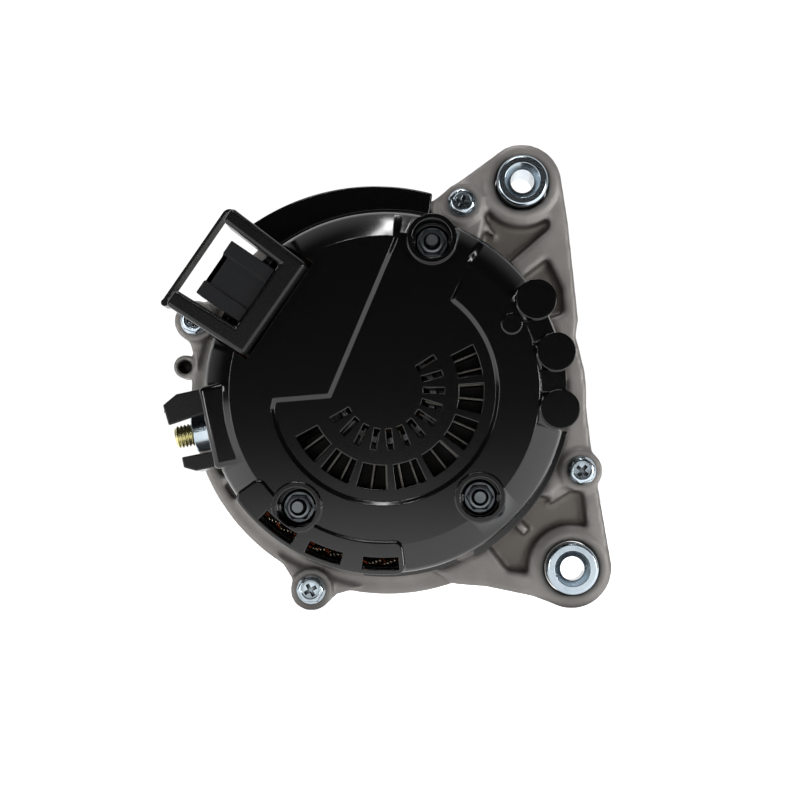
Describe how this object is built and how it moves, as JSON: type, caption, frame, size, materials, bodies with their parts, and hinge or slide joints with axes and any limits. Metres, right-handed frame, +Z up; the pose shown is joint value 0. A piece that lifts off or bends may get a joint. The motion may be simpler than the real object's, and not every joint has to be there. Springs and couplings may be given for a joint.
{
  "type": "car alternator",
  "caption": "Car alternator with a moulded rear cover, a cast bracket with two bushed mounting ears, a plug socket, a threaded output terminal and a ribbed belt pulley on a claw-pole rotor.",
  "frame": {"origin": "on the shaft axis, at the outer face of the rear cover's centre disc", "axes": "+Y along the shaft towards the pulley, the rear cover faces -Y, +Z up, +X towards the mounting ears"},
  "size_m": [0.1574, 0.16, 0.1658],
  "materials": {
    "black_moulding": "moulded, semi-gloss",
    "dull_moulding": "moulded, matt",
    "cast_aluminium": "as cast, matt",
    "sheet_aluminium": "rolled sheet",
    "zinc_steel": "zinc plated",
    "electrical_steel": "varnished laminations and forgings",
    "ground_steel": "ground",
    "enamelled_copper": "enamelled wire",
    "brush_carbon": "pressed carbon",
    "cage_brass": "pressed sheet"
  },
  "bodies": {
    "housing": {"rear_cover": "black_moulding", "connector_housing": "black_moulding", "connector_block": "dull_moulding", "connector_pin_1": "cage_brass", "connector_pin_2": "cage_brass", "heat_shield": "black_moulding", "rear_bracket": "cast_aluminium", "front_bracket": "cast_aluminium", "stator_core": "electrical_steel", "stator_winding": "enamelled_copper", "upper_ear_bushing": "zinc_steel", "lower_ear_bushing": "zinc_steel", "through_bolt_1": "zinc_steel", "through_bolt_2": "zinc_steel", "through_bolt_3": "zinc_steel", "through_bolt_4": "zinc_steel", "cover_stud_1": "zinc_steel", "cover_stud_2": "zinc_steel", "cover_stud_3": "zinc_steel", "cover_nut_1": "zinc_steel", "cover_nut_2": "zinc_steel", "cover_nut_3": "zinc_steel", "output_stud": "zinc_steel", "output_nut": "zinc_steel", "output_washer": "zinc_steel", "output_insulator": "black_moulding", "positive_heat_sink": "sheet_aluminium", "negative_heat_sink": "sheet_aluminium", "rectifier_moulding": "dull_moulding", "positive_diode_1": "zinc_steel", "positive_diode_2": "zinc_steel", "positive_diode_3": "zinc_steel", "negative_diode_1": "zinc_steel", "negative_diode_2": "zinc_steel", "negative_diode_3": "zinc_steel", "voltage_regulator": "dull_moulding", "brush_holder": "dull_moulding", "brush_spring_outer": "ground_steel", "brush_spring_inner": "ground_steel", "rear_bearing_outer_race": "ground_steel", "front_bearing_outer_race": "ground_steel", "bearing_retainer": "zinc_steel"},
    "rotor": {"rotor_shaft": "ground_steel", "rotor_pole_rear": "electrical_steel", "rotor_pole_front": "electrical_steel", "field_coil": "enamelled_copper", "rear_fan": "electrical_steel", "front_fan": "electrical_steel", "slip_ring_sleeve": "dull_moulding", "slip_ring_outer": "ground_steel", "slip_ring_inner": "ground_steel", "pulley_spacer": "zinc_steel", "pulley": "electrical_steel", "pulley_nut": "zinc_steel", "rear_bearing_inner_race": "ground_steel", "front_bearing_inner_race": "ground_steel"},
    "rear_ball_cage": {"rear_bearing_ball_cage": "cage_brass"},
    "front_ball_cage": {"front_bearing_ball_cage": "cage_brass"},
    "outer_brush": {"brush_outer": "brush_carbon"},
    "inner_brush": {"brush_inner": "brush_carbon"}
  },
  "joints": [
    {"name": "rotor_spin", "type": "hinge", "parent": "housing", "child": "rotor", "pos_m": [0, 0.066, 0], "axis": [0, 1, 0], "continuous": true},
    {"name": "rear_ball_cage_spin", "type": "hinge", "parent": "housing", "child": "rear_ball_cage", "pos_m": [0, 0.0339, 0], "axis": [0, 1, 0], "continuous": true},
    {"name": "front_ball_cage_spin", "type": "hinge", "parent": "housing", "child": "front_ball_cage", "pos_m": [0, 0.105, 0], "axis": [0, 1, 0], "continuous": true},
    {"name": "outer_brush_slide", "type": "slide", "parent": "housing", "child": "outer_brush", "axis": [0, 0, 1], "range_m": [0, 0.0035], "stiffness_N_per_m": 300, "springref_m": -0.01, "deforming": ["brush_spring_outer"]},
    {"name": "inner_brush_slide", "type": "slide", "parent": "housing", "child": "inner_brush", "axis": [0, 0, 1], "range_m": [0, 0.0035], "stiffness_N_per_m": 300, "springref_m": -0.01, "deforming": ["brush_spring_inner"]}
  ],
  "couplings": [
    {"joint": "rear_ball_cage_spin", "follows": "rotor_spin", "ratio": 0.4061},
    {"joint": "front_ball_cage_spin", "follows": "rotor_spin", "ratio": 0.3885}
  ]
}
